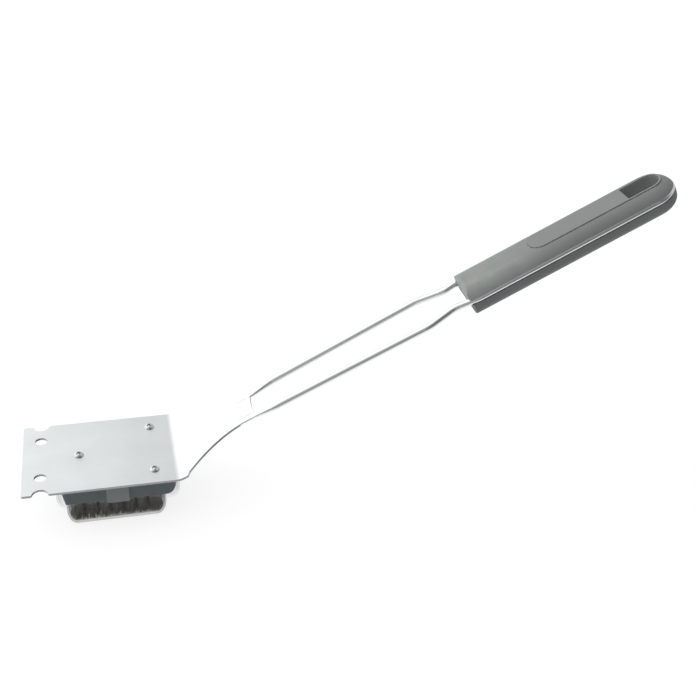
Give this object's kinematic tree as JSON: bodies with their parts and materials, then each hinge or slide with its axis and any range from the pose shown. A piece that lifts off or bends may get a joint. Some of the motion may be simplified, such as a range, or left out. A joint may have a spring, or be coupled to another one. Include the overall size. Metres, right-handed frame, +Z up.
{
  "type": "grill cleaning brush",
  "caption": "Long-handled grill brush with a bent steel scraper head, wire frame, two-shell handle with a hanging slot, screwed-on bristle block and a clear lift-off guard.",
  "frame": {"origin": "under the middle of the brush, on the plane that the bristle guard stands on", "axes": "+Z up, square to the level head plate; +X from the head towards the handle; Y across the head"},
  "size_m": [0.4311, 0.0764, 0.2028],
  "materials": {
    "plate_steel": "bright polished stainless sheet, light rolling grain",
    "wire_steel": "polished stainless wire",
    "soft_grip": "fine matte texture, mid grey",
    "dark_shell": "fine matte texture, charcoal",
    "inlay_plastic": "satin grey, blank",
    "screw_steel": "bright stainless",
    "block_plastic": "satin dark slate",
    "bristle_wire": "fine steel wires",
    "anchor_wire": "flat wire",
    "clear_plastic": "clear moulded plastic, faintly frosted"
  },
  "bodies": {
    "guard": {"bristle_guard": "clear_plastic"},
    "brush": {"head_plate": "plate_steel", "frame_loop": "wire_steel", "handle_upper_shell": "soft_grip", "handle_lower_shell": "dark_shell", "handle_inlay": "inlay_plastic", "handle_screws": "screw_steel", "brush_block": "block_plastic", "head_screws": "screw_steel", "bristle_row_1": "bristle_wire", "bristle_row_2": "bristle_wire", "bristle_row_3": "bristle_wire", "bristle_row_4": "bristle_wire", "bristle_row_5": "bristle_wire", "bristle_row_6": "bristle_wire", "bristle_row_7": "bristle_wire", "anchor_row_1": "anchor_wire", "anchor_row_2": "anchor_wire", "anchor_row_3": "anchor_wire", "anchor_row_4": "anchor_wire", "anchor_row_5": "anchor_wire", "anchor_row_6": "anchor_wire", "anchor_row_7": "anchor_wire"}
  },
  "joints": [
    {"name": "brush_lift_out", "type": "slide", "parent": "guard", "child": "brush", "axis": [0, 0, 1], "range_m": [0, 0.04]}
  ]
}
